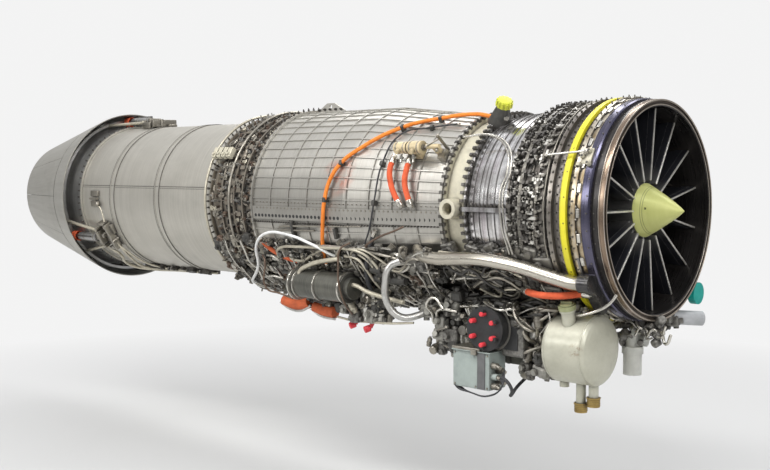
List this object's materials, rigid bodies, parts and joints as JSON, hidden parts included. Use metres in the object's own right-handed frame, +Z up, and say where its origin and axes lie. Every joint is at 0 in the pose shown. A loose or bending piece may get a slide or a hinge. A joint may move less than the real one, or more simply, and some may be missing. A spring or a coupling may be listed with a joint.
{
  "type": "jet engine",
  "caption": "Low-bypass turbofan jet engine with reheat pipe and flapped nozzle, ribbed bypass duct, underslung accessories, oil tank and sleeved hoses",
  "frame": {"origin": "centre of the front face of the intake ring, on the engine axis", "axes": "+X points forward out of the intake along the engine axis, +Z points up, +Y points to the far side"},
  "size_m": [3.984, 0.904, 1.148],
  "materials": {
    "heat_tinted_ring": "satin, heat tinted",
    "front_frame_metal": "satin grey with a blue cast",
    "nose_cone_paint": "satin yellow-green primer",
    "gold_coating": "satin gold",
    "yellow_band": "satin yellow",
    "polished_case": "turned and polished",
    "lever_steel": "dull",
    "cream_casting": "cast, cream coating",
    "duct_titanium": "milled, light stains",
    "core_steel": "plain",
    "hot_steel": "heat tinted",
    "burnt_steel": "burnt",
    "rear_duct_metal": "brown stains",
    "jet_pipe_metal": "matt, faint streaks",
    "nozzle_steel": "plain",
    "fairing_metal": "matt grey",
    "gearbox_casting": "cast, oily",
    "tank_paint": "cream grey paint",
    "box_paint": "satin grey-green",
    "bowl_plastic": "milky",
    "black_cover": "matt black",
    "pump_casting": "cast, dull",
    "air_duct_steel": "drawn, heat tinted",
    "orange_sleeve": "woven orange sleeve",
    "bright_pipe": "drawn tube",
    "teal_cap": "satin teal",
    "bolt_steel": "plain",
    "bearing_steel": "ground",
    "blade_titanium": "dark blades",
    "yellow_cap": "satin yellow-green",
    "flap_metal": "matt grey with warm stains"
  },
  "bodies": {
    "engine": {"inlet_ring": "heat_tinted_ring", "front_frame": "front_frame_metal", "nose_cone": "nose_cone_paint", "front_case": "gold_coating", "ring_band": "yellow_band", "fan_case_upper": "polished_case", "fan_case_lower": "polished_case", "vane_ring": "lever_steel", "middle_frame": "cream_casting", "bypass_duct_upper": "duct_titanium", "bypass_duct_lower": "duct_titanium", "compressor_case": "core_steel", "combustor_case": "hot_steel", "combustor_liner": "burnt_steel", "fuel_nozzles": "core_steel", "turbine_case": "hot_steel", "turbine_frame": "hot_steel", "tail_cone": "burnt_steel", "rear_duct": "rear_duct_metal", "spray_bars": "hot_steel", "flame_holder": "burnt_steel", "jet_pipe": "jet_pipe_metal", "jet_pipe_liner": "burnt_steel", "nozzle_support": "nozzle_steel", "nozzle_fairing": "fairing_metal", "inner_petals": "burnt_steel", "actuators": "nozzle_steel", "gearbox_housing": "gearbox_casting", "oil_tank": "tank_paint", "control_box": "box_paint", "filter_bowl": "bowl_plastic", "pad_cover": "black_cover", "alternator": "gearbox_casting", "fuel_pump": "pump_casting", "air_duct": "air_duct_steel", "twin_valve": "cream_casting", "hoses": "orange_sleeve", "steel_pipes": "bright_pipe", "transit_caps": "teal_cap", "flange_bolts": "bolt_steel", "bearings": "bearing_steel"},
    "low_rotor": {"fan_rotor": "blade_titanium", "low_pressure_turbine": "hot_steel"},
    "high_rotor": {"compressor_rotor": "core_steel", "high_pressure_turbine": "hot_steel"},
    "drive_shaft": {"tower_shaft": "core_steel"},
    "cap": {"filler_cap": "yellow_cap"},
    "nozzle_drive": {"nozzle_ring": "nozzle_steel"},
    "flap_1": {"outer_flap_1": "flap_metal"},
    "flap_2": {"outer_flap_2": "flap_metal"},
    "flap_3": {"outer_flap_3": "flap_metal"},
    "flap_4": {"outer_flap_4": "flap_metal"},
    "flap_5": {"outer_flap_5": "flap_metal"},
    "flap_6": {"outer_flap_6": "flap_metal"},
    "flap_7": {"outer_flap_7": "flap_metal"},
    "flap_8": {"outer_flap_8": "flap_metal"},
    "flap_9": {"outer_flap_9": "flap_metal"},
    "flap_10": {"outer_flap_10": "flap_metal"},
    "flap_11": {"outer_flap_11": "flap_metal"},
    "flap_12": {"outer_flap_12": "flap_metal"}
  },
  "joints": [
    {"name": "low_rotor_spin", "type": "hinge", "parent": "engine", "child": "low_rotor", "pos_m": [-0.6, 0, 0], "axis": [1, 0, 0], "continuous": true},
    {"name": "high_rotor_spin", "type": "hinge", "parent": "engine", "child": "high_rotor", "pos_m": [-1, 0, 0], "axis": [1, 0, 0], "continuous": true},
    {"name": "tower_shaft_spin", "type": "hinge", "parent": "engine", "child": "drive_shaft", "pos_m": [-0.65, 0, -0.3], "axis": [0, 0, 1], "continuous": true},
    {"name": "filler_cap_turn", "type": "hinge", "parent": "engine", "child": "cap", "pos_m": [-0.168, -0.326, -0.352], "axis": [0, -0.2756, 0.9613], "range_deg": [0, 90]},
    {"name": "nozzle_ring_slide", "type": "slide", "parent": "engine", "child": "nozzle_drive", "axis": [1, 0, 0], "range_m": [0, 0.05]},
    {"name": "flap_1_swing", "type": "hinge", "parent": "engine", "child": "flap_1", "pos_m": [-3.398, -0.10301, 0.38444], "axis": [0, 0.9659, 0.2588], "range_deg": [0, 12]},
    {"name": "flap_2_swing", "type": "hinge", "parent": "engine", "child": "flap_2", "pos_m": [-3.398, -0.28143, 0.28143], "axis": [0, 0.7071, 0.7071], "range_deg": [0, 12]},
    {"name": "flap_3_swing", "type": "hinge", "parent": "engine", "child": "flap_3", "pos_m": [-3.398, -0.38444, 0.10301], "axis": [0, 0.2588, 0.9659], "range_deg": [0, 12]},
    {"name": "flap_4_swing", "type": "hinge", "parent": "engine", "child": "flap_4", "pos_m": [-3.398, -0.38444, -0.10301], "axis": [0, -0.2588, 0.9659], "range_deg": [0, 12]},
    {"name": "flap_5_swing", "type": "hinge", "parent": "engine", "child": "flap_5", "pos_m": [-3.398, -0.28143, -0.28143], "axis": [0, -0.7071, 0.7071], "range_deg": [0, 12]},
    {"name": "flap_6_swing", "type": "hinge", "parent": "engine", "child": "flap_6", "pos_m": [-3.398, -0.10301, -0.38444], "axis": [0, -0.9659, 0.2588], "range_deg": [0, 12]},
    {"name": "flap_7_swing", "type": "hinge", "parent": "engine", "child": "flap_7", "pos_m": [-3.398, 0.10301, -0.38444], "axis": [0, -0.9659, -0.2588], "range_deg": [0, 12]},
    {"name": "flap_8_swing", "type": "hinge", "parent": "engine", "child": "flap_8", "pos_m": [-3.398, 0.28143, -0.28143], "axis": [0, -0.7071, -0.7071], "range_deg": [0, 12]},
    {"name": "flap_9_swing", "type": "hinge", "parent": "engine", "child": "flap_9", "pos_m": [-3.398, 0.38444, -0.10301], "axis": [0, -0.2588, -0.9659], "range_deg": [0, 12]},
    {"name": "flap_10_swing", "type": "hinge", "parent": "engine", "child": "flap_10", "pos_m": [-3.398, 0.38444, 0.10301], "axis": [0, 0.2588, -0.9659], "range_deg": [0, 12]},
    {"name": "flap_11_swing", "type": "hinge", "parent": "engine", "child": "flap_11", "pos_m": [-3.398, 0.28143, 0.28143], "axis": [0, 0.7071, -0.7071], "range_deg": [0, 12]},
    {"name": "flap_12_swing", "type": "hinge", "parent": "engine", "child": "flap_12", "pos_m": [-3.398, 0.10301, 0.38444], "axis": [0, 0.9659, -0.2588], "range_deg": [0, 12]}
  ],
  "couplings": [
    {"joint": "tower_shaft_spin", "follows": "high_rotor_spin", "ratio": 1},
    {"joint": "flap_1_swing", "follows": "nozzle_ring_slide", "rad_per_m": 4.18},
    {"joint": "flap_2_swing", "follows": "nozzle_ring_slide", "rad_per_m": 4.18},
    {"joint": "flap_3_swing", "follows": "nozzle_ring_slide", "rad_per_m": 4.18},
    {"joint": "flap_4_swing", "follows": "nozzle_ring_slide", "rad_per_m": 4.18},
    {"joint": "flap_5_swing", "follows": "nozzle_ring_slide", "rad_per_m": 4.18},
    {"joint": "flap_6_swing", "follows": "nozzle_ring_slide", "rad_per_m": 4.18},
    {"joint": "flap_7_swing", "follows": "nozzle_ring_slide", "rad_per_m": 4.18},
    {"joint": "flap_8_swing", "follows": "nozzle_ring_slide", "rad_per_m": 4.18},
    {"joint": "flap_9_swing", "follows": "nozzle_ring_slide", "rad_per_m": 4.18},
    {"joint": "flap_10_swing", "follows": "nozzle_ring_slide", "rad_per_m": 4.18},
    {"joint": "flap_11_swing", "follows": "nozzle_ring_slide", "rad_per_m": 4.18},
    {"joint": "flap_12_swing", "follows": "nozzle_ring_slide", "rad_per_m": 4.18}
  ]
}
